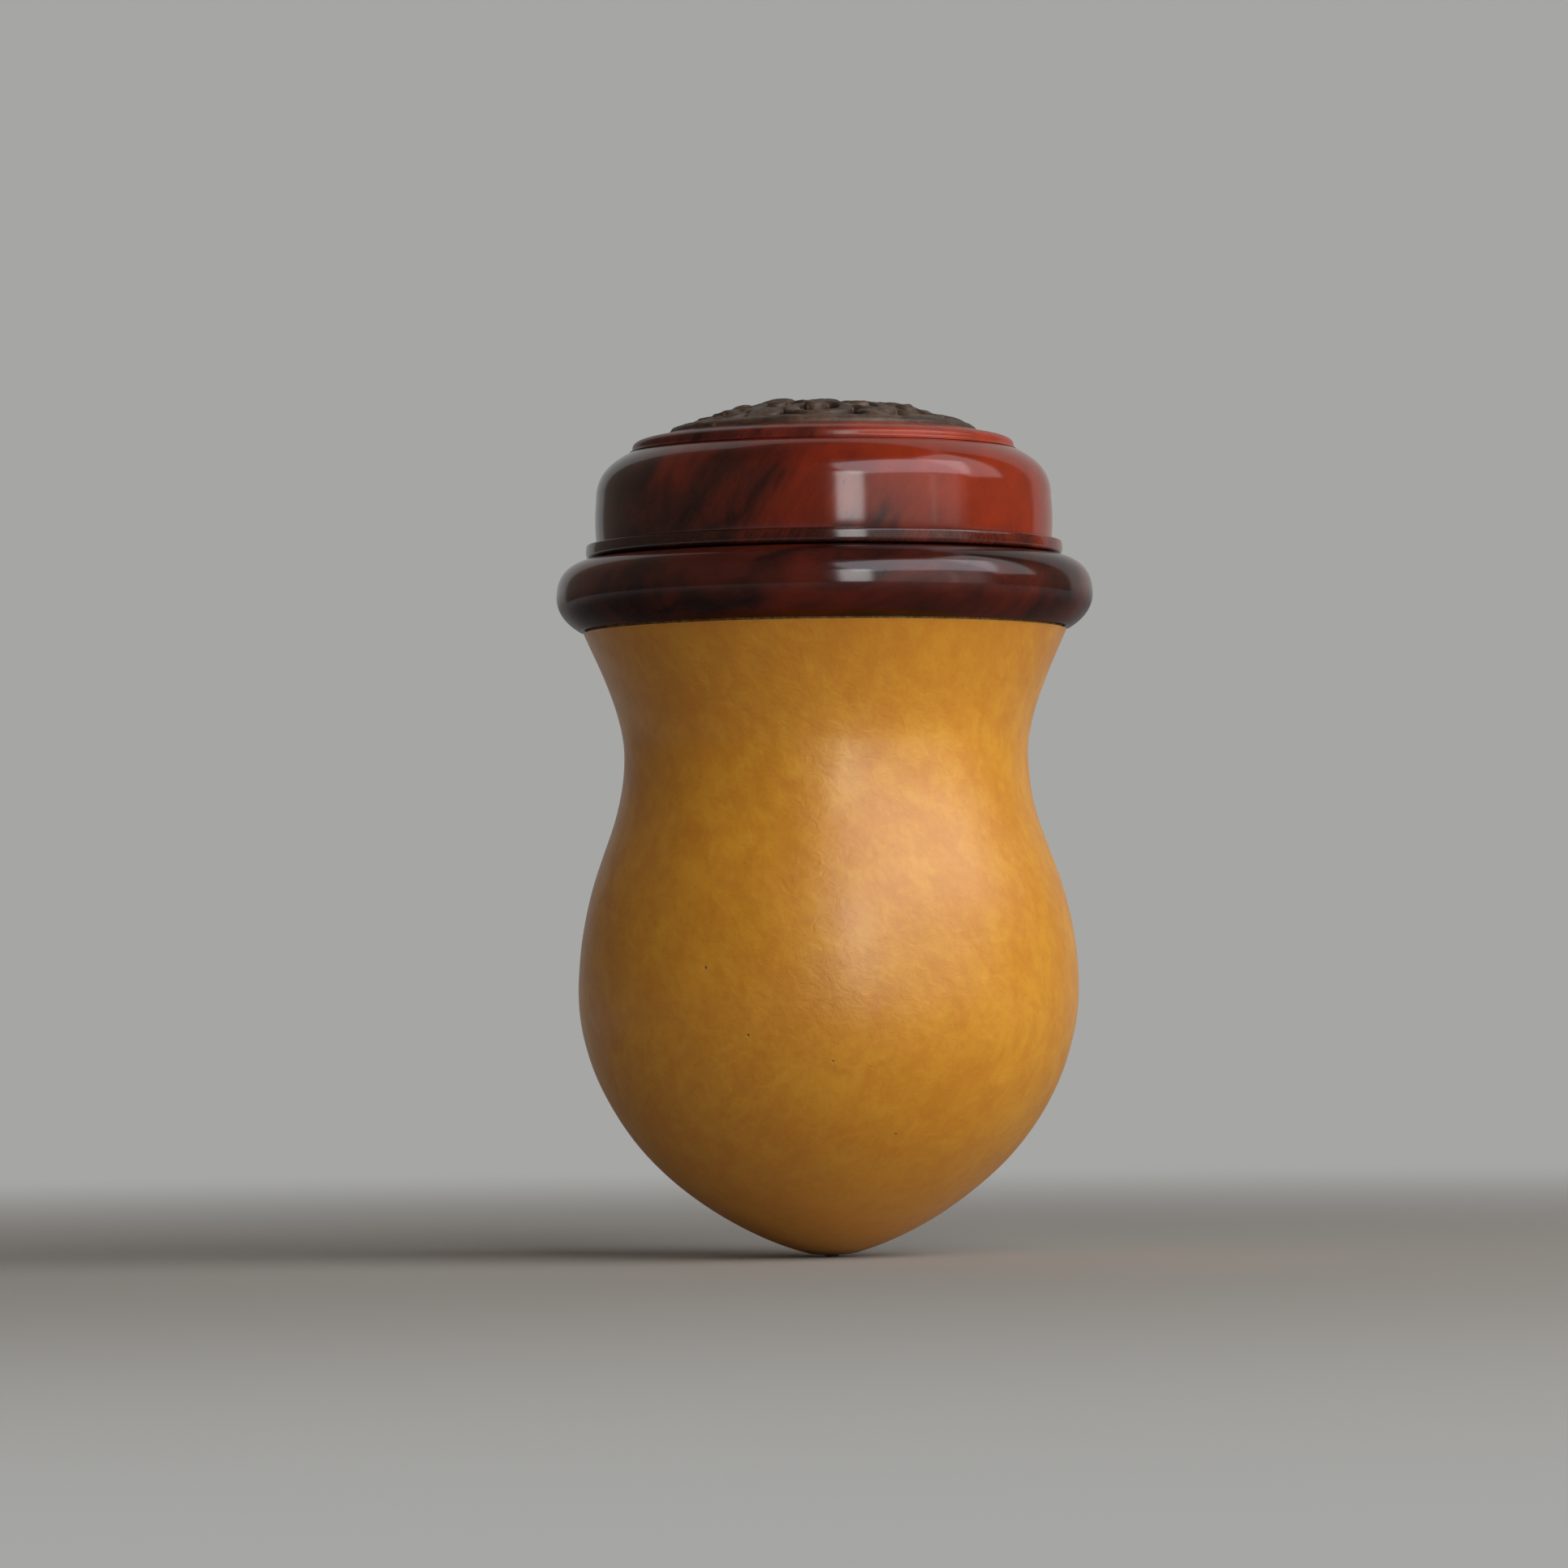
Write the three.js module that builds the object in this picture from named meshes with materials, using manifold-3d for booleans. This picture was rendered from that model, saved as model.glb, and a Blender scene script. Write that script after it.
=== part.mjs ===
// A katydid gourd: a dried gourd shell with a turned rosewood mouth ring, and a turned lid
// that carries a carved, pierced horn cap. A springy brass coil is wedged in the neck.
// Millimetres, +Z up. The origin is the tip of the gourd, and +Z is the axis of every turned piece.

import * as THREE from 'three';
import { mergeVertices } from 'three/addons/utils/BufferGeometryUtils.js';
import Module from 'manifold-3d';

const wasm = await Module();
wasm.setup();

// Clearances
const glueGap = 0.3;              // between two pieces that are glued or lie on each other
const runningGap = 0.35;          // around the lid's tenon, which slides and turns in the mouth

// Gourd shell: the skin's outline from the tip to the mouth ring
const tipBluntness = 6.8;         // how far the outline runs out level at the tip
const bellyRadius = 34.7;
const bellyHeight = 37.2;         // of the widest place, above the tip
const fullnessUnderBelly = 25.5;  // how strongly the outline holds its width below the belly
const fullnessOverBelly = 16.7;   // and above it
const waistDrawIn = 5.4;          // how much slimmer the waist is than the skin under the ring
const waistHeight = 69.8;
const waistRunBelow = 12.8;       // how long the waist stays slim below its narrowest place
const waistRunAbove = 4.9;        // and above it
const shoulderHeight = 86.6;      // where the skin meets the underside of the mouth ring
const shoulderRun = 5.3;          // length of the flare that leads up to the ring
const shoulderFlare = 0.43;       // growth in radius for each millimetre of height, at the ring
const shellWall = 2.6;
const lipStep = 0.6;              // the cut lip is turned down by this, so that the ring fits over it
const lipHeight = 3.6;

// Mouth ring: a bullnose ring glued over the cut lip
const ringRadius = 37.2;
const ringOverhang = 3.7;         // how far its widest place stands out beyond the skin under it
const ringHeight = 9.7;
const ringWidestAt = 4.7;         // height of its widest place, above its underside
const ringUnderRound = 1.9;       // height that the lower curve aims at, above the underside
const ringTopRound = 1.1;         // depth that the upper curve aims at, below the top
const ringFootWidth = 0.6;        // flat underside that shows outside the gourd
const ringTopMargin = 0.3;        // flat top that shows outside the lid's flange

// Mouth liner: a thin sleeve glued in the ring's bore
const linerSetIn = 4.5;           // from the skin under the ring in to the liner
const linerWall = 1.6;
const linerRecess = 0.3;          // its top lies this far below the ring's top

// Lid: a turned, hollow drum with a flange that rests on the ring
const flangeSetIn = 4.1;          // from the ring's widest place in to the flange's edge
const flangeHeight = 1.9;
const flangeRound = 0.8;          // rounding of the flange's upper edge
const flangeLedge = 1.5;          // from the flange's edge in to the drum
const drumBulge = 0.3;            // how far the drum's side swells out
const drumHeight = 14.6;          // from the flange's underside to the drum's flat top
const drumStraight = 6.2;         // height of the side, above the flange, where the shoulder starts
const drumDrawIn = 4.7;           // from the drum's side in to its flat top
const shoulderCrown = 1.5;        // drop from the flat top to where the shoulder's curve aims
const hollowCorner = 3.0;
const drumTopThickness = 2.6;

// Tenon: a sleeve glued into the drum, which fits into the mouth
const tenonWall = 1.8;
const tenonDepth = 7.0;           // reach below the ring's top
const tenonSeat = 5.3;            // reach up into the drum
const tenonLedge = 1.65;          // from the tenon's side in to the drum's hollow above it

// Bezel: a thin step ring on the drum, with a spigot in the drum's window
const drumTopLedge = 0.4;         // flat top of the drum that shows outside the bezel
const bezelWidth = 5.2;           // from its outer edge in to the carved cap
const bezelHeight = 2.6;
const bezelEdge = 0.7;            // upright part of its outer edge
const bezelRoll = 1.9;            // height that its convex face aims at
const bezelRollInset = 0.9;       // and how far in from the outer edge
const spigotDepth = 2.3;
const spigotWall = 1.2;
const shelfHeight = 1.1;          // of the ledge that the carved cap lies on, above the bezel's underside

// Carved cap: a domed openwork plate with an undulating vine between a rim and a flower
const capProud = 0.3;             // how far its edge stands above the bezel
const capRise = 4.0;              // of the dome above that edge
const capThickness = 1.9;
const rimWidth = 2.3;
const flowerPetals = 8;
const flowerRadius = 5.6;
const petalDepth = 0.9;
const vineWaves = 6;
const vineSetIn = 0.2;            // its mean line runs this far inside the middle of the openwork
const vineSwing = 2.9;            // how far the vine swings in and out of its mean line
const vineWidth = 2.0;
const curlTurns = 1.05;
const curlSwing = 0.25;           // share of a curl's length in which it swings out to its full reach
const curlRootWidth = 1.7;
const curlEndWidth = 1.2;
const curlEyeRadius = 1.1;        // where each curl ends, from its own middle
const budRadius = 1.5;
const leafWidth = 3.4;
const tieOverlap = 0.5;           // how far leaves and curls run into what they join
const pierceMargin = 1.0;         // how far the piercing outlines stand out beyond the blank

// Brass coil: a conical spiral of springy wire that closes the neck and lets the sound out
const wireRadius = 0.6;
const coilSpread = 1.4;           // how much wider than the waist its seat in the neck is, in radius
const coilEyeRadius = 7.5;        // of the open middle, to the middle of the wire
const coilWallTurns = 1.15;       // turns that lie against the neck
const coilSpiralTurns = 5.9;      // turns from the wall in to the middle
const coilWallPitch = 1.75;       // climb of each turn against the wall
const coilRise = 4.5;             // climb from the wall in to the middle

// Fineness of the round shapes
const aroundSteps = 48;
const curveSteps = 4;
const skinSteps = [9, 6, 4];      // along each of the skin's three curves, outside
const innerSkinSteps = [6, 4, 4]; // and inside
const domeSteps = 4;
const vineStepsPerWave = 9;
const curlSteps = 10;
const petalSteps = 5;
const coilStepsPerTurn = 24;
const coilSides = 6;

// Heights and radii that follow from the sizes above: the mouth ring sets those of the neck and lid
const shoulderRadius = ringRadius - ringOverhang;
const waistRadius = shoulderRadius - waistDrawIn;
const lipRadius = shoulderRadius - lipStep;
const lipTop = shoulderHeight + lipHeight;
const ringBottom = shoulderHeight + glueGap;
const ringTop = ringBottom + ringHeight;
const linerOuterRadius = shoulderRadius - linerSetIn;
const linerInnerRadius = linerOuterRadius - linerWall;
const ringBoreRadius = linerOuterRadius + glueGap;
const coilSeatRadius = waistRadius - shellWall + coilSpread;
const coilRadius = coilSeatRadius - glueGap - wireRadius;
const lidBottom = ringTop + glueGap;
const flangeRadius = ringRadius - flangeSetIn;
const drumRadius = flangeRadius - flangeLedge;
const drumTopRadius = drumRadius - drumDrawIn;
const drumTop = lidBottom + drumHeight;
const tenonRadius = linerInnerRadius - runningGap;
const hollowRadius = tenonRadius - tenonLedge;
const bezelRadius = drumTopRadius - drumTopLedge;
const bezelBottom = drumTop + glueGap;
const bezelTop = bezelBottom + bezelHeight;
const capRadius = bezelRadius - bezelWidth;
const capEdgeTop = bezelTop + capProud;
const capEdgeBottom = bezelBottom + shelfHeight + glueGap;
const rebateRadius = capRadius + glueGap;
const rimInnerRadius = capRadius - rimWidth;
const vineRadius = (flowerRadius + rimInnerRadius) / 2 - vineSetIn;
const spigotInnerRadius = rimInnerRadius + 2 * glueGap;
const spigotRadius = spigotInnerRadius + spigotWall;
const windowRadius = spigotRadius + glueGap;

const point = (radius, height) => new THREE.Vector2(radius, height);

// Merges shared corners, and drops the triangles without area that a lathe leaves on its axis.
function closedSurface(geometry) {
  geometry.deleteAttribute('normal');
  geometry.deleteAttribute('uv');
  const merged = mergeVertices(geometry, 1e-4);
  const corners = merged.index.array;
  const kept = [];
  for (let i = 0; i < corners.length; i += 3) {
    const [a, b, c] = corners.slice(i, i + 3);
    if (a !== b && b !== c && c !== a) kept.push(a, b, c);
  }
  merged.setIndex(kept);
  return merged;
}

// Turns a closed outline of (radius, height) points about +Z.
function turned(points) {
  const outline = THREE.ShapeUtils.area(points) > 0 ? points : [...points].reverse();
  const lathe = new THREE.LatheGeometry([...outline, outline[0].clone()], aroundSteps);
  return closedSurface(lathe.rotateX(Math.PI / 2));
}

function toManifold(geometry) {
  return new wasm.Manifold(new wasm.Mesh({
    numProp: 3,
    vertProperties: new Float32Array(geometry.attributes.position.array),
    triVerts: new Uint32Array(geometry.index.array),
  }));
}

function fromManifold(solid) {
  const { vertProperties, triVerts } = solid.getMesh();
  const geometry = new THREE.BufferGeometry();
  geometry.setAttribute('position', new THREE.BufferAttribute(new Float32Array(vertProperties), 3));
  geometry.setIndex(new THREE.BufferAttribute(new Uint32Array(triVerts), 1));
  return geometry;
}

// The skin: tip to belly, belly to waist, waist to ring.
const flareLength = Math.hypot(1, shoulderFlare);
const skinCurves = [
  new THREE.CubicBezierCurve(
    point(0, 0),
    point(tipBluntness, 0),
    point(bellyRadius, bellyHeight - fullnessUnderBelly),
    point(bellyRadius, bellyHeight),
  ),
  new THREE.CubicBezierCurve(
    point(bellyRadius, bellyHeight),
    point(bellyRadius, bellyHeight + fullnessOverBelly),
    point(waistRadius, waistHeight - waistRunBelow),
    point(waistRadius, waistHeight),
  ),
  new THREE.CubicBezierCurve(
    point(waistRadius, waistHeight),
    point(waistRadius, waistHeight + waistRunAbove),
    point(
      shoulderRadius - shoulderRun * shoulderFlare / flareLength,
      shoulderHeight - shoulderRun / flareLength,
    ),
    point(shoulderRadius, shoulderHeight),
  ),
];

// Points along the skin, or along a surface that lies a given depth inside it.
function alongSkin(depth, steps) {
  const points = [];
  skinCurves.forEach((curve, part) => {
    for (let step = part ? 1 : 0; step <= steps[part]; step += 1) {
      const place = curve.getPoint(step / steps[part]);
      const way = curve.getTangent(step / steps[part]);
      points.push(point(Math.max(place.x - depth * way.y, 0), place.y + depth * way.x));
    }
  });
  return points;
}

const innerSkin = alongSkin(shellWall, innerSkinSteps);

// Height in the neck, above the waist, at which the inside of the shell has a given radius.
function neckHeight(radius) {
  const upper = innerSkin.length - 1;
  for (let i = upper; i > 0; i -= 1) {
    const [below, above] = [innerSkin[i - 1], innerSkin[i]];
    if (below.x <= radius || below.y < waistHeight) {
      return below.y + (above.y - below.y) * (radius - below.x) / (above.x - below.x);
    }
  }
  return waistHeight;
}

function gourdShell() {
  const mouth = innerSkin[innerSkin.length - 1];
  return turned([
    ...alongSkin(0, skinSteps),
    point(lipRadius, shoulderHeight),
    point(lipRadius, lipTop),
    point(mouth.x, lipTop),
    ...[...innerSkin].reverse(),
  ]);
}

function mouthRing() {
  const socketRadius = lipRadius + glueGap;
  const ledge = lipTop + glueGap;
  const outline = new THREE.Path()
    .moveTo(socketRadius, ringBottom)
    .lineTo(shoulderRadius + ringFootWidth, ringBottom)
    .quadraticCurveTo(ringRadius, ringBottom + ringUnderRound, ringRadius, ringBottom + ringWidestAt)
    .quadraticCurveTo(ringRadius, ringTop - ringTopRound, flangeRadius + ringTopMargin, ringTop)
    .lineTo(ringBoreRadius, ringTop)
    .lineTo(ringBoreRadius, ledge)
    .lineTo(socketRadius, ledge);
  return turned(outline.getPoints(curveSteps));
}

function mouthLiner() {
  const bottom = neckHeight(linerOuterRadius + glueGap);
  const top = ringTop - linerRecess;
  return turned([
    point(linerInnerRadius, bottom),
    point(linerOuterRadius, bottom),
    point(linerOuterRadius, top),
    point(linerInnerRadius, top),
  ]);
}

function lidFrame() {
  const seatRadius = tenonRadius + glueGap;
  const seatTop = lidBottom + tenonSeat + glueGap;
  const flangeTop = lidBottom + flangeHeight;
  const shoulderStart = flangeTop + drumStraight;
  const ceiling = drumTop - drumTopThickness;
  const outline = new THREE.Path()
    .moveTo(seatRadius, lidBottom)
    .lineTo(flangeRadius, lidBottom)
    .lineTo(flangeRadius, flangeTop - flangeRound)
    .quadraticCurveTo(flangeRadius, flangeTop, flangeRadius - flangeRound, flangeTop)
    .lineTo(drumRadius, flangeTop)
    .quadraticCurveTo(drumRadius + drumBulge, (flangeTop + shoulderStart) / 2, drumRadius, shoulderStart)
    .bezierCurveTo(
      drumRadius,
      (shoulderStart + drumTop) / 2,
      (drumRadius + drumTopRadius) / 2 + shoulderCrown / 2,
      drumTop - shoulderCrown,
      drumTopRadius,
      drumTop,
    )
    .lineTo(windowRadius, drumTop)
    .lineTo(windowRadius, ceiling)
    .lineTo(hollowRadius - hollowCorner, ceiling)
    .quadraticCurveTo(hollowRadius, ceiling, hollowRadius, ceiling - hollowCorner)
    .lineTo(hollowRadius, seatTop)
    .lineTo(seatRadius, seatTop);
  return turned(outline.getPoints(curveSteps));
}

function lidTenon() {
  const bottom = ringTop - tenonDepth;
  const top = lidBottom + tenonSeat;
  const bore = tenonRadius - tenonWall;
  return turned([
    point(bore, bottom),
    point(tenonRadius, bottom),
    point(tenonRadius, top),
    point(bore, top),
  ]);
}

function lidBezel() {
  const shelf = bezelBottom + shelfHeight;
  const spigotBottom = bezelBottom - glueGap - spigotDepth;
  const outline = new THREE.Path()
    .moveTo(spigotRadius, spigotBottom)
    .lineTo(spigotRadius, bezelBottom)
    .lineTo(bezelRadius, bezelBottom)
    .lineTo(bezelRadius, bezelBottom + bezelEdge)
    .quadraticCurveTo(bezelRadius - bezelRollInset, bezelBottom + bezelRoll, rebateRadius, bezelTop)
    .lineTo(rebateRadius, shelf)
    .lineTo(spigotInnerRadius, shelf)
    .lineTo(spigotInnerRadius, spigotBottom);
  return turned(outline.getPoints(curveSteps));
}

// The domed blank of the carved cap, before it is pierced.
function capBlank() {
  const domeRadius = (capRadius ** 2 + capRise ** 2) / (2 * capRise);
  const domeHeight = (radius) => capEdgeTop + capRise - domeRadius
    + Math.sqrt(domeRadius ** 2 - radius ** 2);
  const top = [];
  const under = [];
  for (let step = 0; step <= domeSteps; step += 1) {
    const radius = capRadius * (1 - step / domeSteps);
    const height = domeHeight(radius);
    top.push(point(radius, height));
    under.unshift(point(radius, Math.max(height - capThickness, capEdgeBottom)));
  }
  return turned([...top, ...under]);
}

// Where the undulating vine runs: out and in again vineWaves times around the cap.
function vinePoint(angle) {
  const radius = vineRadius + vineSwing * Math.cos(vineWaves * angle);
  return point(radius * Math.cos(angle), radius * Math.sin(angle));
}

// The two edges of a ribbon along some points, each shifted by half the width there.
function ribbonEdges(points, widthAt, loops) {
  const last = points.length - 1;
  return [1, -1].map((side) => points.map((place, i) => {
    const before = loops ? points[(i + last) % (last + 1)] : points[Math.max(i - 1, 0)];
    const after = loops ? points[(i + 1) % (last + 1)] : points[Math.min(i + 1, last)];
    const way = after.clone().sub(before).normalize();
    const half = side * widthAt(i / last) / 2;
    return point(place.x - way.y * half, place.y + way.x * half);
  }));
}

// An upright prism of a flat shape, tall enough to cut right through the cap.
function prism(shape, curveSegments = curveSteps) {
  const depth = capRise + capThickness + 2 * pierceMargin;
  const geometry = new THREE.ExtrudeGeometry(shape, { depth, curveSegments, bevelEnabled: false });
  return toManifold(closedSurface(geometry.translate(0, 0, capEdgeBottom - pierceMargin)));
}

function vine() {
  const steps = vineWaves * vineStepsPerWave;
  const points = [];
  for (let i = 0; i < steps; i += 1) {
    points.push(vinePoint(2 * Math.PI * i / steps));
  }
  const [inner, outer] = ribbonEdges(points, () => vineWidth, true);
  const shape = new THREE.Shape(outer);
  shape.holes.push(new THREE.Path(inner));
  return prism(shape);
}

// A tendril that leaves the vine and curls up in the bay beside it, ending in a round bud.
function curl(bayAngle, bayRadius, reach) {
  const middle = point(bayRadius * Math.cos(bayAngle), bayRadius * Math.sin(bayAngle));
  const start = vinePoint(bayAngle - Math.PI / vineWaves / 2).sub(middle);
  const points = [];
  for (let i = 0; i <= curlSteps; i += 1) {
    const done = i / curlSteps;
    const first = THREE.MathUtils.lerp(start.length(), reach, Math.min(done / curlSwing, 1));
    const radius = THREE.MathUtils.lerp(first, curlEyeRadius, done);
    const angle = start.angle() + 2 * Math.PI * curlTurns * done;
    points.push(point(middle.x + radius * Math.cos(angle), middle.y + radius * Math.sin(angle)));
  }
  const widthAt = (done) => THREE.MathUtils.lerp(curlRootWidth, curlEndWidth, done);
  const [left, right] = ribbonEdges(points, widthAt, false);
  const end = points[curlSteps];
  const bud = new THREE.Shape().absarc(end.x, end.y, budRadius, 0, 2 * Math.PI, false);
  return prism(new THREE.Shape([...left, ...right.reverse()])).add(prism(bud));
}

// A pointed leaf along a radius of the cap.
function leaf(angle, from, to) {
  const along = (radius, side) => point(
    radius * Math.cos(angle) - side * Math.sin(angle),
    radius * Math.sin(angle) + side * Math.cos(angle),
  );
  const [root, tip] = [along(from, 0), along(to, 0)];
  const middle = (from + to) / 2;
  const [left, right] = [along(middle, leafWidth), along(middle, -leafWidth)];
  const shape = new THREE.Shape()
    .moveTo(root.x, root.y)
    .quadraticCurveTo(right.x, right.y, tip.x, tip.y)
    .quadraticCurveTo(left.x, left.y, root.x, root.y);
  return prism(shape);
}

function flower() {
  const steps = flowerPetals * petalSteps;
  const points = [];
  for (let i = 0; i < steps; i += 1) {
    const angle = 2 * Math.PI * i / steps;
    const radius = flowerRadius + petalDepth * (Math.abs(Math.cos(flowerPetals * angle / 2)) - 0.5);
    points.push(point(radius * Math.cos(angle), radius * Math.sin(angle)));
  }
  return prism(new THREE.Shape(points));
}

function rim() {
  const shape = new THREE.Shape().absarc(0, 0, capRadius + pierceMargin, 0, 2 * Math.PI, false);
  shape.holes.push(new THREE.Path().absarc(0, 0, rimInnerRadius, 0, 2 * Math.PI, false));
  return prism(shape, aroundSteps / 2);
}

function carvedGrille() {
  const vineOut = vineRadius + vineSwing;
  const vineIn = vineRadius - vineSwing;
  const outerBay = (vineIn + rimInnerRadius) / 2;
  const innerBay = (vineOut + flowerRadius) / 2;
  let openwork = rim().add(flower()).add(vine());
  for (let wave = 0; wave < vineWaves; wave += 1) {
    const crest = 2 * Math.PI * wave / vineWaves;
    const trough = crest + Math.PI / vineWaves;
    openwork = openwork
      .add(curl(trough, outerBay, rimInnerRadius + tieOverlap - outerBay))
      .add(curl(crest, innerBay, innerBay - flowerRadius + tieOverlap))
      .add(leaf(crest, vineOut, rimInnerRadius + tieOverlap))
      .add(leaf(trough, flowerRadius - tieOverlap, vineIn));
  }
  return fromManifold(toManifold(capBlank()).intersect(openwork));
}

// The middle of the coil's wire. Steps along it are even in angle, so that small turns stay round.
class CoilCurve extends THREE.Curve {
  getPoint(done) {
    const turn = done * (coilWallTurns + coilSpiralTurns);
    const inward = Math.max(turn - coilWallTurns, 0) / coilSpiralTurns;
    const radius = THREE.MathUtils.lerp(coilRadius, coilEyeRadius, inward);
    const angle = 2 * Math.PI * turn;
    const climb = coilWallPitch * Math.min(turn, coilWallTurns) + coilRise * inward;
    const height = neckHeight(coilSeatRadius) + climb;
    return new THREE.Vector3(radius * Math.cos(angle), radius * Math.sin(angle), height);
  }

  getUtoTmapping(done) {
    return done;
  }
}

function brassCoil() {
  const steps = Math.round((coilWallTurns + coilSpiralTurns) * coilStepsPerTurn);
  const section = new THREE.Shape().absarc(0, 0, wireRadius, 0, 2 * Math.PI, false);
  const geometry = new THREE.ExtrudeGeometry(section, {
    steps,
    curveSegments: coilSides / 2,
    extrudePath: new CoilCurve(),
  });
  return closedSurface(geometry);
}

// The least clear distance between two stretches of the wire that are over a third of a turn apart.
function coilLeastGap() {
  const curve = new CoilCurve();
  const turns = coilWallTurns + coilSpiralTurns;
  const perTurn = 72;
  const points = curve.getPoints(Math.round(turns * perTurn));
  let least = Infinity;
  points.forEach((place, i) => {
    for (let j = i + perTurn / 3; j < points.length; j += 1) {
      least = Math.min(least, place.distanceTo(points[j]));
    }
  });
  return least - 2 * wireRadius;
}

function piece(name, geometry, color, roughness, metalness) {
  const mesh = new THREE.Mesh(geometry, new THREE.MeshStandardMaterial({ color, roughness, metalness }));
  mesh.name = name;
  return mesh;
}

console.log(`brass_coil: least gap between turns ${coilLeastGap().toFixed(2)} mm`);

const gourd = new THREE.Group();
gourd.add(
  piece('gourd_shell', gourdShell(), 0xc88a3c, 0.42, 0),
  piece('mouth_ring', mouthRing(), 0x4a1a12, 0.22, 0),
  piece('mouth_liner', mouthLiner(), 0x5a2216, 0.4, 0),
  piece('brass_coil', brassCoil(), 0xc9a24a, 0.3, 1),
);

const lid = new THREE.Group();
lid.add(
  piece('lid_frame', lidFrame(), 0x8c2a14, 0.2, 0),
  piece('lid_tenon', lidTenon(), 0x6a2616, 0.4, 0),
  piece('lid_bezel', lidBezel(), 0x9a3018, 0.22, 0),
  piece('carved_grille', carvedGrille(), 0x5a4a40, 0.45, 0),
);

const katydidGourd = new THREE.Group();
katydidGourd.add(gourd, lid);

export default katydidGourd;
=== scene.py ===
import math

import bpy
import numpy as np
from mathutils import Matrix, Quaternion, Vector, noise


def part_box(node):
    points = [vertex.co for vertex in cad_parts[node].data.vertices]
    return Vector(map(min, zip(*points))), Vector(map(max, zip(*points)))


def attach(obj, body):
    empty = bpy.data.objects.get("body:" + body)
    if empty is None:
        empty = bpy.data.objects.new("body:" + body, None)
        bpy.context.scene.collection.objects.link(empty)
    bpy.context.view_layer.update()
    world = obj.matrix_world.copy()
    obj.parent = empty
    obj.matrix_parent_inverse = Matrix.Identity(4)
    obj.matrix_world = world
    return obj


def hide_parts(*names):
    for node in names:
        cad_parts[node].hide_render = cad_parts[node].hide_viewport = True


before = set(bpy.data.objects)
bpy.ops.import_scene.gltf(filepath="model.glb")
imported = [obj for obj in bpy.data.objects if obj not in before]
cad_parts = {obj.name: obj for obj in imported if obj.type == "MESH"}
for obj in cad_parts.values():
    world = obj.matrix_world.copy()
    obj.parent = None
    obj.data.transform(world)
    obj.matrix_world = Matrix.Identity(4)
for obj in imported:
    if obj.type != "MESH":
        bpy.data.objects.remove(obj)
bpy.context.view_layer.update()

# The camera: a long lens a metre in front of the gourd, a little above the point it stands on, and
# turned a hair on its own axis. It aims a few millimetres to the left, which puts the gourd right of
# the middle of a square frame.
frame_pixels = 1932
focal_pixels = 8890
eye = Vector((-0.0059, -1.0, 0.033))
aim = Vector((-0.0059, 0.0, 0.0655))
camera_roll = math.radians(-0.6)

camera = bpy.data.objects.new("camera", bpy.data.cameras.new("camera"))
camera.data.sensor_width = 36
camera.data.lens = camera.data.sensor_width * focal_pixels / frame_pixels
camera.location = eye
camera.rotation_mode = "QUATERNION"
camera.rotation_quaternion = (aim - eye).to_track_quat("-Z", "Y") @ Quaternion((0, 0, 1), camera_roll)
bpy.context.scene.collection.objects.link(camera)
bpy.context.scene.camera = camera

# The gourd: one dried fruit with a wall of about 2.6 mm, cut open at the top, scraped out and rubbed
# until its skin took a soft shine. It is drawn in under the mouth and ends in a blunt point, where a
# small scar shows the place of the flower. Sizes here and below are in millimetres.
mm = 0.001
around_steps = 256
sharp_edge = math.radians(35)
belly_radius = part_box("gourd_shell")[1].x / mm
lip_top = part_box("gourd_shell")[1].z / mm
shell_wall = 2.6
lip_height = 3.6
lip_step = 0.6
skin_top = lip_top - lip_height
tip = (0, 0)
from_tip = (6.8, 0)
into_belly = (belly_radius, 11.7)
belly = (belly_radius, 37.2)
from_belly = (belly_radius, 53.9)
into_waist = (28.1, 57.0)
waist = (28.1, 69.8)
from_waist = (28.1, 74.7)
into_shoulder = (31.41, 81.73)
shoulder = (33.5, skin_top)
scar_outline = [(0, 0), (0.5, 0.01), (0.85, 0.1), (1.15, 0.38), (1.5, 0.46), (1.9, 0.33), (2.4, 0.36)]
scar_margin = 0.4
swell_height = 0.22
swell_width = 14.0
ripple_height = 0.035
ripple_width = 4.5
ripple_shift = Vector((9, 4, 2))
still_at_tip = 3
tip_fade = 8
lip_fade = 5


def bent(*controls, steps=16):
    """Points along the curve that leaves the first point, heads for the handles and ends at the last."""
    order = len(controls) - 1
    points = []
    for step in range(steps + 1):
        t = step / steps
        shares = [math.comb(order, k) * (1 - t) ** (order - k) * t ** k for k in range(order + 1)]
        points.append(tuple(sum(s * c[axis] for s, c in zip(shares, controls)) for axis in (0, 1)))
    return points


def turned(name, outline, steps=around_steps):
    """A piece turned about the gourd's axis. The outline is a closed ring of (radius, height) points."""
    corners, rings = [], []
    for radius, height in outline:
        count = steps if radius > 1e-6 else 1
        rings.append(range(len(corners), len(corners) + count))
        for step in range(count):
            angle = 2 * math.pi * step / steps
            corners.append((radius * math.cos(angle) * mm, radius * math.sin(angle) * mm, height * mm))
    faces = []
    for lower, upper in zip(rings, rings[1:] + rings[:1]):
        if len(lower) == 1 and len(upper) == 1:
            continue
        for step in range(steps):
            ahead = (step + 1) % steps
            face = [lower[step % len(lower)], lower[ahead % len(lower)],
                    upper[ahead % len(upper)], upper[step % len(upper)]]
            faces.append(list(dict.fromkeys(face)))
    mesh = bpy.data.meshes.new(name)
    mesh.from_pydata(corners, [], faces)
    mesh.validate()
    if sum(f.area * f.normal.dot(f.center) for f in mesh.polygons) < 0:
        mesh.flip_normals()
    mesh.shade_smooth()
    mesh.set_sharp_from_angle(angle=sharp_edge)
    piece = bpy.data.objects.new(name, mesh)
    bpy.context.scene.collection.objects.link(piece)
    return piece


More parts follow.
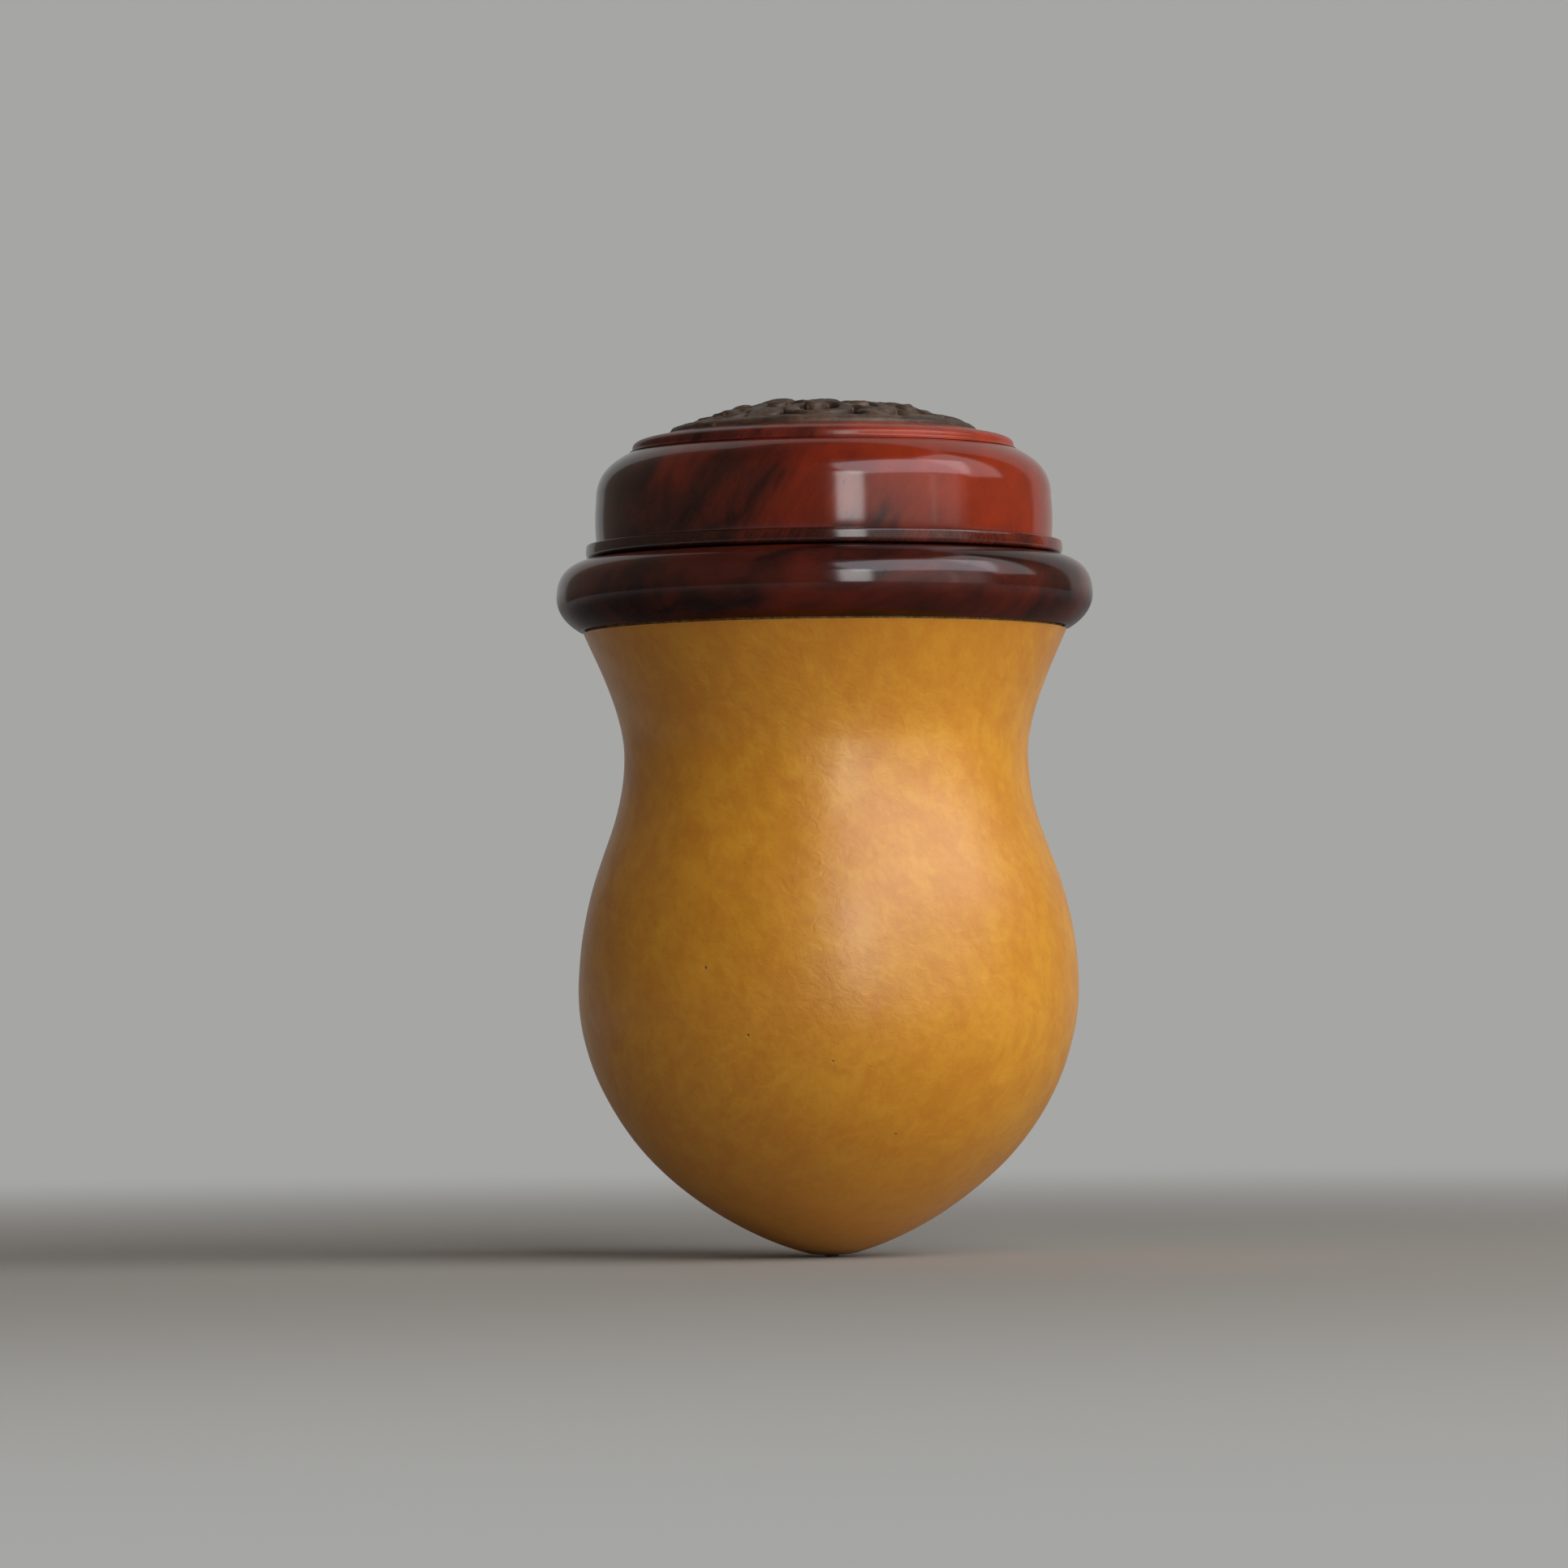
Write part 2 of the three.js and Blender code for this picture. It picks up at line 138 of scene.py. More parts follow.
def inset(points, depth):
    """The same line, moved inwards by a depth, as the inside of a wall runs."""
    moved = []
    for i, (radius, height) in enumerate(points):
        before, after = points[max(i - 1, 0)], points[min(i + 1, len(points) - 1)]
        run, climb = after[0] - before[0], after[1] - before[1]
        length = math.hypot(run, climb)
        moved.append((max(radius - depth * climb / length, 0), height + depth * run / length))
    return moved


def grown(piece):
    """Moves a turned piece's surface in and out in wide, low swellings, as a grown thing has them, and
    slightly inwards on the whole, so that it keeps within its size."""
    for corner in piece.data.vertices:
        place = corner.co / mm
        radius = math.hypot(place.x, place.y)
        near_tip = min(max((place.z - still_at_tip) / tip_fade, 0), 1)
        near_lip = min(max((skin_top - place.z) / lip_fade, 0), 1)
        swell = swell_height * noise.noise(place / swell_width)
        ripple = ripple_height * noise.noise(place / ripple_width + ripple_shift)
        grow = (swell + ripple - swell_height / 2) * near_tip * near_lip
        if radius > 0:
            corner.co.x += place.x / radius * grow * mm
            corner.co.y += place.y / radius * grow * mm


under_belly = bent(tip, from_tip, into_belly, belly, steps=60)
over_belly = bent(belly, from_belly, into_waist, waist, steps=40)
flare = bent(waist, from_waist, into_shoulder, shoulder, steps=24)
skin_line = under_belly + over_belly[1:] + flare[1:]
inner_line = inset(skin_line, shell_wall)
mouth_radius = inner_line[-1][0]
scar_edge = scar_outline[-1][0] + scar_margin
gourd = turned("gourd", [
    *scar_outline,
    *[place for place in skin_line if place[0] > scar_edge],
    (shoulder[0] - lip_step, skin_top),
    (shoulder[0] - lip_step, lip_top),
    (mouth_radius, lip_top),
    *reversed(inner_line[2:]),
    (0, shell_wall),
])
grown(gourd)


class Value:
    """What comes out of a node. Sums and products of it add their own nodes to its finish."""

    def __init__(self, finish, socket):
        self.finish = finish
        self.socket = socket

    def __add__(self, other):
        return self.finish.node("Math", {"operation": "ADD"}, {0: self, 1: other})

    def __radd__(self, other):
        return self + other

    def __sub__(self, other):
        return self.finish.node("Math", {"operation": "SUBTRACT"}, {0: self, 1: other})

    def __rsub__(self, other):
        return self.finish.node("Math", {"operation": "SUBTRACT"}, {0: other, 1: self})

    def __mul__(self, other):
        return self.finish.node("Math", {"operation": "MULTIPLY"}, {0: self, 1: other})

    def __rmul__(self, other):
        return self * other


def screen(red, green, blue):
    """A colour as it looks on a screen, 0 to 255, as the light that a shader takes."""
    shares = [c / 255 for c in (red, green, blue)]
    return tuple(s / 12.92 if s <= 0.04045 else ((s + 0.055) / 1.055) ** 2.4 for s in shares) + (1,)


class Finish:
    """The surface of a piece: its colour, gloss and fine relief, built up from patterns in its bulk."""

    def __init__(self, name):
        self.material = bpy.data.materials.new(name)
        self.material.use_nodes = True
        self.nodes = self.material.node_tree.nodes
        self.links = self.material.node_tree.links
        self.shader = self.nodes["Principled BSDF"]

    def node(self, kind, settings, values, output=0):
        """Adds a node: first its settings, then the values or links of its sockets."""
        node = self.nodes.new("ShaderNode" + kind)
        for name, setting in settings.items():
            setattr(node, name, setting)
        self.fill(node, values)
        return Value(self, node.outputs[output])

    def fill(self, node, values):
        """Links or sets a node's sockets, each named by its name or number."""
        for name, value in values.items():
            if isinstance(value, Value):
                self.links.new(value.socket, node.inputs[name])
            else:
                node.inputs[name].default_value = value

    def place(self):
        """The point of the piece, in millimetres, whatever pose it is in."""
        metres = self.node("TexCoord", {}, {}, output="Object")
        return self.node("VectorMath", {"operation": "SCALE"}, {0: metres, "Scale": 1 / mm})

    def stretched(self, place, x, y, z):
        """A pattern at this place runs long where a number is below one, and short above it."""
        return self.node("VectorMath", {"operation": "MULTIPLY"}, {0: place, 1: (x, y, z)})

    def rotated(self, place, axis, angle):
        return self.node("VectorRotate", {"rotation_type": axis + "_AXIS"},
                         {"Vector": place, "Angle": angle})

    def cloud(self, place, size, detail=2.0, roughness=0.5, distortion=0.0):
        """Soft random patches about as wide as size, from 0 to 1 with most near one half."""
        return self.node("TexNoise", {}, {"Vector": place, "Scale": 1 / size, "Detail": detail,
                                          "Roughness": roughness, "Distortion": distortion})

    def step(self, value, low, high, start=0.0, end=1.0):
        """Start below low, end above high, and a smooth change between them."""
        return self.node("MapRange", {"interpolation_type": "SMOOTHSTEP"},
                         {0: value, 1: low, 2: high, 3: start, 4: end})

    def mix(self, share, first, second):
        """The first colour where the share is 0, and the second where it is 1."""
        return self.node("Mix", {"data_type": "RGBA"}, {0: share, 6: first, 7: second}, output=2)

    def relief(self, height, depth):
        """Fine relief of a height pattern from 0 to 1; depth is in millimetres."""
        return self.node("Bump", {}, {"Height": height, "Strength": 1.0, "Distance": depth * mm})

    def surface(self, **values):
        """Fills the shader's own sockets, whose names are written with underscores."""
        self.fill(self.shader, {name.replace("_", " "): value for name, value in values.items()})


def gourd_finish():
    """Honey ochre skin: soft, cloudy blotches that wind round the gourd, painted shade under the ring and
    towards the tip, leathery dimples, and the satin polish of years of handling."""
    skin = Finish("polished_gourd_skin")
    place = skin.place()
    height = skin.node("SeparateXYZ", {}, {0: place}, output="Z")
    near_base = skin.step(height, 2, 34, 1, 0)
    winding = height * 0.007 + near_base * 0.5
    wound = skin.rotated(place, "Z", winding)
    drawn_out = skin.stretched(wound, 1, 1, 0.8)
    blotches = skin.cloud(drawn_out, 3.4, detail=4, roughness=0.6, distortion=0.4)
    flecks = skin.cloud(drawn_out, 0.9, detail=2, roughness=0.6, distortion=0.3)
    drifts = skin.cloud(place, 15, detail=2)
    depth = skin.step(blotches * 0.6 + flecks * 0.2 + drifts * 0.2, 0.36, 0.64)
    colour = skin.mix(depth, screen(202, 132, 26), screen(216, 152, 38))
    ruddy = skin.cloud(drawn_out, 7, detail=3, roughness=0.6)
    colour = skin.mix(skin.step(ruddy, 0.46, 0.7, 0, 0.4), colour, screen(196, 122, 22))
    # Darker under the ring and towards the tip: painted shade.
    painted_shade = skin.step(height, 66, 88) * 0.3 + near_base * 0.35
    colour = skin.mix(painted_shade, colour, screen(186, 115, 24))

    pits = skin.node("TexVoronoi", {}, {"Vector": place, "Scale": 1 / 5.5, "Randomness": 1.0})
    gate = skin.cloud(place, 9, detail=0)
    pit = skin.step(pits, 0.02, 0.05, 1, 0) * skin.step(gate, 0.52, 0.56)
    colour = skin.mix(pit * 0.7, colour, screen(96, 56, 22))
    base_scar = skin.step(height, 0.3, 1.2, 1, 0)
    colour = skin.mix(base_scar * 0.75, colour, screen(92, 56, 26))

    hairs = skin.cloud(skin.stretched(wound, 0.6, 0.6, 5), 1.0, detail=3, roughness=0.65)
    dimples = skin.cloud(skin.stretched(wound, 1, 1, 1.25), 1.9, detail=4, roughness=0.6, distortion=0.6)
    rubbed = 0.38 + 0.14 * skin.cloud(drawn_out, 6, detail=2) - 0.06 * hairs
    relief = dimples * 1.0 + hairs * 0.08 + blotches * 0.4 - pit * 1.0
    skin.surface(Base_Color=colour, Roughness=rubbed, IOR=1.5, Coat_Weight=0.2, Coat_Roughness=0.3,
                 Normal=skin.relief(relief, 0.1))
    return skin.material


def scraped_finish():
    """The inside of the gourd: dry, pale fibre, scraped bare."""
    pith = Finish("scraped_gourd_inside")
    place = pith.place()
    fibres = pith.cloud(pith.stretched(place, 1, 1, 0.2), 0.8, detail=4, roughness=0.65, distortion=0.5)
    stains = pith.cloud(place, 11, detail=3)
    colour = pith.mix(pith.step(fibres, 0.35, 0.7), screen(150, 112, 66), screen(206, 176, 124))
    colour = pith.mix(pith.step(stains, 0.5, 0.75, 0, 0.5), colour, screen(112, 76, 40))
    pith.surface(Base_Color=colour, Roughness=0.7 + 0.2 * fibres, Normal=pith.relief(fibres, 0.15))
    return pith.material


gourd.data.materials.append(gourd_finish())
gourd.data.materials.append(scraped_finish())
scraped_floor_top = shell_wall + 4
scraped_floor_radius = 20
for face in gourd.data.polygons:
    x, y, z = face.center / mm
    on_inner_wall = face.normal.dot(Vector((x, y, 0))) < 0
    on_lip = z > skin_top
    on_floor = face.normal.z > 0 and z < scraped_floor_top and math.hypot(x, y) < scraped_floor_radius
    face.material_index = int(on_inner_wall or on_lip or on_floor)
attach(gourd, "gourd")
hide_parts("gourd_shell")

# The mouth ring: turned from dark rosewood with a full, rounded edge, bored for the liner, and glued
# over the gourd's cut lip. Its foot stands just off the skin, and a dark line shows there.
ring_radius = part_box("mouth_ring")[1].x / mm
ring_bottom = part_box("mouth_ring")[0].z / mm
ring_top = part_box("mouth_ring")[1].z / mm
glue_gap = 0.3
ring_foot_width = 0.6
ring_widest_at = 4.7
ring_under_round = 1.9
ring_top_round = 1.1
ring_top_margin = 0.3
ring_worn_foot = 2.5
ring_full_shine = 5.5
ring_foot = (shoulder[0] + ring_foot_width, ring_bottom)
ring_widest = (ring_radius, ring_bottom + ring_widest_at)
ring_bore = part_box("mouth_liner")[1].x / mm + glue_gap
flange_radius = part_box("lid_frame")[1].x / mm
socket_radius = shoulder[0] - lip_step + glue_gap
socket_top = lip_top + glue_gap


def eased(outline):
    """Cuts each corner that carries a third number by that much, with a small round."""
    points = []
    count = len(outline)
    for i, corner in enumerate(outline):
        if len(corner) == 2:
            points.append(corner)
            continue
        here, cut = Vector(corner[:2]), corner[2]
        before, after = Vector(outline[i - 1][:2]), Vector(outline[(i + 1) % count][:2])
        start = here + (before - here).normalized() * cut
        end = here + (after - here).normalized() * cut
        points += bent(tuple(start), tuple(here), tuple(end), steps=4)
    return points


mouth_ring = turned("mouth_ring_turned", eased([
    (socket_radius, ring_bottom, 0.1),
    *bent(ring_foot, (ring_radius, ring_bottom + ring_under_round), ring_widest, steps=28),
    *bent(ring_widest, (ring_radius, ring_top - ring_top_round),
          (flange_radius + ring_top_margin, ring_top), steps=36)[1:],
    (ring_bore, ring_top, 0.15),
    (ring_bore, socket_top),
    (socket_radius, socket_top),
]))


def rosewood_finish(name, pale, red, dark, heart_and_painted_shade, painted_lit_side, lean, polish, gloss, seed,
                    darker_foot=(-2, -1), dull=(-2, -1)):
    """Rosewood: red wood with broad dark zones and near-black streaks that lean, short pores, and a
    rubbed, clear polish. The first heart number is how dark the zones are; the other two are painted
    shade, how much darker per millimetre to the left and downwards. A paler, plainer side, painted
    light where the light falls on the right and top, begins beyond the first lit-side number and is
    full at the second. Between the two foot heights the wood clears from a darker foot, and between
    the two dull heights its polish grows to full."""
    wood = Finish(name)
    place = wood.place()
    block = wood.node("VectorMath", {"operation": "ADD"}, {0: place, 1: seed})
    fibre = wood.rotated(block, "Y", math.radians(-lean))
    across = wood.node("SeparateXYZ", {}, {0: place}, output="X")
    height = wood.node("SeparateXYZ", {}, {0: place}, output="Z")
    zones = wood.cloud(wood.stretched(fibre, 1, 1, 0.45), 10, detail=3, roughness=0.5, distortion=0.3)
    # A paler side on the right and towards the top, where the light falls: painted light.
    side = wood.step(across + 1.8 * height + 26 * (zones - 0.5), *painted_lit_side)
    # Darker to the left and downwards by the last two heart numbers: painted shade.
    darkness, shade_leftwards, shade_downwards = heart_and_painted_shade
    heartwood_and_shade = zones - across * shade_leftwards - height * shade_downwards + darkness
    zone = wood.step(heartwood_and_shade, 0.38, 0.68) * (1 - 0.85 * side)
    streaks = wood.cloud(wood.stretched(fibre, 1, 0.7, 0.26), 2.9, detail=3, roughness=0.55, distortion=0.5)
    hairs = wood.cloud(wood.stretched(fibre, 3.6, 3.6, 0.4), 1.0, detail=3, roughness=0.6)
    pores = wood.cloud(wood.stretched(fibre, 6.5, 6.5, 0.6), 1.0, detail=1)
    pore = wood.step(pores, 0.66, 0.76)
    figure = wood.cloud(wood.stretched(fibre, 0.6, 0.6, 0.4), 2.6, detail=3)

    lively = wood.step(figure * 0.65 + hairs * 0.35, 0.34, 0.66)
    colour = wood.mix(side * 0.6 + lively * 0.4, red, pale)
    colour = wood.mix(zone * (0.95 - 0.35 * lively), colour, dark)
    streak = wood.step(streaks + 0.25 * (hairs - 0.5), 0.44, 0.72)
    streak = streak * (0.12 + 0.73 * zone) * (1 - 0.5 * side)
    colour = wood.mix(streak, colour, screen(19, 10, 9))
    colour = wood.mix(pore * 0.35, colour, screen(26, 13, 10))
    foot = wood.step(height, *darker_foot, 0.75, 0) * wood.step(figure + hairs, 0.8, 1.2, 1, 0.45)
    colour = wood.mix(foot, colour, screen(30, 14, 11))
    smears = wood.cloud(place, 5, detail=3)
    shine = polish * wood.step(height, *dull, 0.4, 1)
    wood.surface(Base_Color=colour, Roughness=0.4 + 0.12 * smears, Specular_IOR_Level=0.0,
                 Coat_Weight=shine - 0.25 * pore, Coat_Roughness=gloss, Coat_IOR=1.5,
                 Normal=wood.relief(smears * 0.5 - pore * 0.4, 0.02))
    return wood.material


mouth_ring.data.materials.append(rosewood_finish(
    "dark_rosewood", pale=screen(112, 38, 22), red=screen(78, 27, 18), dark=screen(30, 16, 13),
    heart_and_painted_shade=(0.08, -0.001, 0), painted_lit_side=(300, 400), lean=74, polish=1.0, gloss=0.13, seed=(24, 4, 30),
    dull=(ring_bottom + ring_worn_foot, ring_bottom + ring_full_shine)))
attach(mouth_ring, "gourd")
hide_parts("mouth_ring")

# The mouth liner: a thin sleeve of plain rosewood, turned and glued in the ring's bore. It reaches
# down into the gourd's mouth, and the lid's tenon slides and turns in it.
liner_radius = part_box("mouth_liner")[1].x / mm
liner_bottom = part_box("mouth_liner")[0].z / mm
liner_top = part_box("mouth_liner")[1].z / mm
liner_wall = 1.6
liner_bore = liner_radius - liner_wall
mouth_liner = turned("mouth_liner_turned", eased([
    (liner_bore, liner_bottom, 0.3),
    (liner_radius, liner_bottom, 0.15),
    (liner_radius, liner_top, 0.2),
    (liner_bore, liner_top, 0.4),
]))
# Its gently paler upper right is painted light, as on the drum.
inner_wood = rosewood_finish(
    "plain_rosewood", pale=screen(144, 72, 46), red=screen(118, 52, 33), dark=screen(80, 34, 24),
    heart_and_painted_shade=(-0.08, 0, 0), painted_lit_side=(0, 300), lean=6, polish=0.5, gloss=0.3, seed=(70, 12, 5))
mouth_liner.data.materials.append(inner_wood)
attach(mouth_liner, "gourd")
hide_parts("mouth_liner")

# The coil: springy brass wire, wound flat by hand into a spiral that climbs to its open middle. Its
# outer turn wedges in the flare of the neck, and nothing else holds it.
wire_radius = 0.6
coil_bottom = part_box("brass_coil")[0].z / mm + wire_radius
coil_radius = 26.0
coil_eye_radius = 7.5
wall_turns = 1.15
spiral_turns = 5.9
wall_pitch = 1.75
coil_rise = 4.5
wire_steps_per_turn = 60

wire = bpy.data.curves.new("brass_wire_coil", "CURVE")
wire.dimensions = "3D"
wire.bevel_depth = wire_radius * mm
wire.bevel_resolution = 3
wire.use_fill_caps = True
wire_steps = round((wall_turns + spiral_turns) * wire_steps_per_turn)
run = wire.splines.new("POLY")
run.points.add(wire_steps)
for step in range(wire_steps + 1):
    turn = step / wire_steps_per_turn
    inward = max(turn - wall_turns, 0) / spiral_turns
    radius = coil_radius + (coil_eye_radius - coil_radius) * inward
    height = coil_bottom + wall_pitch * min(turn, wall_turns) + coil_rise * inward
    angle = 2 * math.pi * turn
    run.points[step].co = (radius * math.cos(angle) * mm, radius * math.sin(angle) * mm, height * mm, 1)
coil = bpy.data.objects.new("brass_wire_coil", wire)
bpy.context.scene.collection.objects.link(coil)


def brass_finish():
    """Drawn brass wire, brown where it is old and bright where it was rubbed."""
    brass = Finish("drawn_brass")
    place = brass.place()
    tarnish = brass.cloud(place, 3.2, detail=4, roughness=0.6)
    scratches = brass.cloud(place, 0.25, detail=2)
    age = brass.step(tarnish, 0.42, 0.68)
    colour = brass.mix(age, screen(224, 184, 104), screen(150, 106, 56))
    brass.surface(Base_Color=colour, Metallic=1.0, Roughness=0.22 + 0.25 * age + 0.08 * scratches,
                  Normal=brass.relief(scratches, 0.01))
    return brass.material


wire.materials.append(brass_finish())
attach(coil, "gourd")
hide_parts("brass_coil")

# The tenon: a turned sleeve, glued into the underside of the drum. It reaches down into the liner
# and keeps the lid on by its fit alone.
tenon_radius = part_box("lid_tenon")[1].x / mm
tenon_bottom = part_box("lid_tenon")[0].z / mm
tenon_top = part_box("lid_tenon")[1].z / mm
tenon_wall = 1.8
tenon_bore = tenon_radius - tenon_wall
tenon = turned("lid_tenon_turned", eased([
    (tenon_bore, tenon_bottom, 0.4),
    (tenon_radius, tenon_bottom, 0.5),
    (tenon_radius, tenon_top, 0.1),
    (tenon_bore, tenon_top, 0.1),
]))
tenon.data.materials.append(inner_wood)
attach(tenon, "lid_sleeve")
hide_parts("lid_tenon")

# The drum of the lid: turned hollow from red rosewood with dark streaks. A thin flange rests on the
# mouth ring, the side swells a little, and the shoulder rolls in to a flat top around the window.
lid_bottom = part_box("lid_frame")[0].z / mm
drum_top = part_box("lid_frame")[1].z / mm
flange_height = 1.9
flange_top = lid_bottom + flange_height
bead_foot = (flange_radius - 0.5, lid_bottom)
bead_low = (flange_radius - 0.03, lid_bottom + 0.6)
bead_high = (flange_radius - 0.1, flange_top - 0.2)
bead_top = (flange_radius - 0.5, flange_top)
groove_depth = 0.22
groove_width = 0.35
drum_radius = 31.6
drum_bulge = 0.3
drum_straight = 6.2
drum_top_radius = 26.9
drum_top_thickness = 2.6
shoulder_start = flange_top + drum_straight
side_foot = (drum_radius, flange_top + 0.15)
side_middle = (drum_radius + drum_bulge, (flange_top + shoulder_start) / 2)
side_top = (drum_radius, shoulder_start)
shoulder_roll = [(drum_radius, (shoulder_start + drum_top) / 2), (30.0, drum_top - 1.5)]
tenon_seat = tenon_radius + glue_gap
seat_top = tenon_top + glue_gap
hollow_radius = 25.4
hollow_corner = 3.0
ceiling = drum_top - drum_top_thickness
window_radius = 21.1
lid_lean = 33
lid_log = (3, -8, 0)

drum = turned("lid_drum", eased([
    (tenon_seat, lid_bottom, 0.15),
    *bent(bead_foot, (flange_radius - 0.06, lid_bottom + 0.1), bead_low, steps=6),
    *bent(bead_low, (flange_radius, lid_bottom + 1.15), bead_high, steps=8)[1:],
    *bent(bead_high, (flange_radius - 0.14, flange_top), bead_top, steps=6)[1:],
    (drum_radius + groove_width, flange_top, 0.1),
    (drum_radius + groove_width / 3, flange_top - groove_depth, 0.06),
    (drum_radius - 0.02, flange_top + 0.04, 0.03),
    *bent(side_foot, side_middle, side_top, steps=20),
    *bent(side_top, *shoulder_roll, (drum_top_radius, drum_top), steps=32)[1:],
    (window_radius, drum_top),
    (window_radius, ceiling, 0.3),
    *bent((hollow_radius - hollow_corner, ceiling), (hollow_radius, ceiling),
          (hollow_radius, ceiling - hollow_corner), steps=12),
    (hollow_radius, seat_top),
    (tenon_seat, seat_top),
]))
# The drum's paler upper right is painted light, and its darker left and lower part painted shade.
drum.data.materials.append(rosewood_finish(
    "red_rosewood", pale=screen(145, 47, 20), red=screen(101, 33, 19), dark=screen(48, 23, 18),
    heart_and_painted_shade=(1.23, 0.01, 0.012), painted_lit_side=(192, 205), lean=lid_lean, polish=1.0, gloss=0.125, seed=lid_log,
    darker_foot=(flange_top - 0.2, flange_top + 0.5)))
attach(drum, "lid")
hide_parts("lid_frame")

# The bezel: a thin ring of the same wood with a rounded face, and a small hollow at its foot that
# catches the light. Its spigot is glued in the drum's window, and the carved cap lies on a ledge in it.
bezel_seam = 0.05
bezel_foot_width = 0.36
bezel_worn_away = 0.3
shelf_height = 1.1
cap_rim_width = 2.3
spigot_wall = 1.2
cap_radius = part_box("carved_grille")[1].x / mm
rebate_radius = cap_radius + glue_gap
bezel_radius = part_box("lid_bezel")[1].x / mm
bezel_bottom = drum_top + bezel_seam
bezel_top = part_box("lid_bezel")[1].z / mm - bezel_worn_away
foot_radius = bezel_radius + bezel_foot_width
foot_hollow = [(bezel_radius + 0.2, bezel_bottom + 0.14), (bezel_radius - 0.02, bezel_bottom + 0.2),
               (bezel_radius - 0.04, bezel_bottom + 0.55)]
rounded_face = [(bezel_radius - 0.04, bezel_bottom + 0.7), (bezel_radius - 0.1, bezel_bottom + 1.9),
                (24.0, bezel_top - 0.7), (rebate_radius + 0.15, bezel_top - 0.02)]
shelf = drum_top + glue_gap + shelf_height
spigot_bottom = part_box("lid_bezel")[0].z / mm
spigot_bore = cap_radius - cap_rim_width + 2 * glue_gap
spigot_radius = spigot_bore + spigot_wall
bezel = turned("lid_bezel_turned", eased([
    (spigot_radius, spigot_bottom, 0.1),
    (spigot_radius, bezel_bottom),
    (foot_radius, bezel_bottom, 0.05),
    (foot_radius, bezel_bottom + 0.12, 0.05),
    *bent(*foot_hollow, steps=6),
    *bent(*rounded_face, steps=24),
    (rebate_radius, bezel_top - 0.1),
    (rebate_radius, shelf),
    (spigot_bore, shelf, 0.15),
    (spigot_bore, spigot_bottom, 0.15),
]))
# The bezel is the drum's wood painted lighter where its face turns up to the light, paler on its right half
# and darker on its left: painted light and shade. Its softer polish is wear.
bezel.data.materials.append(rosewood_finish(
    "worn_rosewood_with_painted_light", pale=screen(168, 64, 40), red=screen(120, 45, 33), dark=screen(72, 30, 25),
    heart_and_painted_shade=(0.1, 0.006, 0), painted_lit_side=(200, 210), lean=lid_lean, polish=0.6, gloss=0.2, seed=lid_log))
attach(bezel, "lid")
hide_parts("lid_bezel")

# The carved cap: a domed plate of grey-brown horn, pierced and carved by hand with a winding vine,
# leaves, curled tendrils and a flower in the middle. It lets the insect's song out.
cap_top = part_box("carved_grille")[1].z / mm
cap_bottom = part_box("carved_grille")[0].z / mm
dome_rise = 4.0
dome_radius = (cap_radius ** 2 + dome_rise ** 2) / (2 * dome_rise)
rim_inner = cap_radius - cap_rim_width
carved_depth = 1.9
carved_roundness = 0.6
tie_overlap = 0.5
waves = 6
vine_steps = 240
vine_radius = 12.1
vine_swing = 2.9
vine_width = 2.7
vine_width_change = 0.4
curl_steps = 40
curl_turns = 1.05
curl_swing = 0.25
curl_eye_radius = 1.1
curl_width = 2.3
curl_taper = 0.6
curl_rise = 0.35
outer_bay_radius = 14.1
inner_bay_radius = 10.3
bud_half_length = 1.4
bud_roundness = 1.5
bud_width = 3.4
bud_rise = 0.1
leaf_steps = 16
leaf_tie = 0.6
leaf_tip_width = 0.6
leaf_swell = 4.4
leaf_rise = 0.3
flower_radius = 5.6
petals = 6
petal_steps = 14
petal_radius = 3.5
petal_length = 4.6
petal_width = 3.8
petal_droop = 0.3
carving_voxel = 0.22
rng = np.random.default_rng(7)


def dome(x, y):
    """The height of the cap's domed top."""
    return cap_top - dome_radius + math.sqrt(dome_radius ** 2 - x * x - y * y)


def strand(points, widths, lifts, corners, faces, sides=14):
    """A rounded stem of horn along some (x, y) points, as wide as given, and its top lifted off the
    dome by lifts."""
    first = len(corners)
    half_depth = carved_depth / 2
    for i, (x, y) in enumerate(points):
        before, after = points[max(i - 1, 0)], points[min(i + 1, len(points) - 1)]
        way = math.atan2(after[1] - before[1], after[0] - before[0])
        top = dome(x, y) + lifts[i]
        for side in range(sides):
            turn = 2 * math.pi * side / sides
            out = widths[i] / 2 * math.copysign(abs(math.cos(turn)) ** carved_roundness, math.cos(turn))
            up = half_depth * math.copysign(abs(math.sin(turn)) ** carved_roundness, math.sin(turn))
            corners.append((x - math.sin(way) * out, y + math.cos(way) * out, top - half_depth + up))
    for i in range(len(points) - 1):
        for side in range(sides):
            a = first + i * sides + side
            b = first + i * sides + (side + 1) % sides
            faces.append((a, b, b + sides, a + sides))
    faces.append(tuple(first + side for side in reversed(range(sides))))
    faces.append(tuple(first + (len(points) - 1) * sides + side for side in range(sides)))


def vine_place(angle):
    """Where the vine runs: out and in again, waves times around the cap."""
    radius = vine_radius + vine_swing * math.cos(waves * angle)
    return radius * math.cos(angle), radius * math.sin(angle)


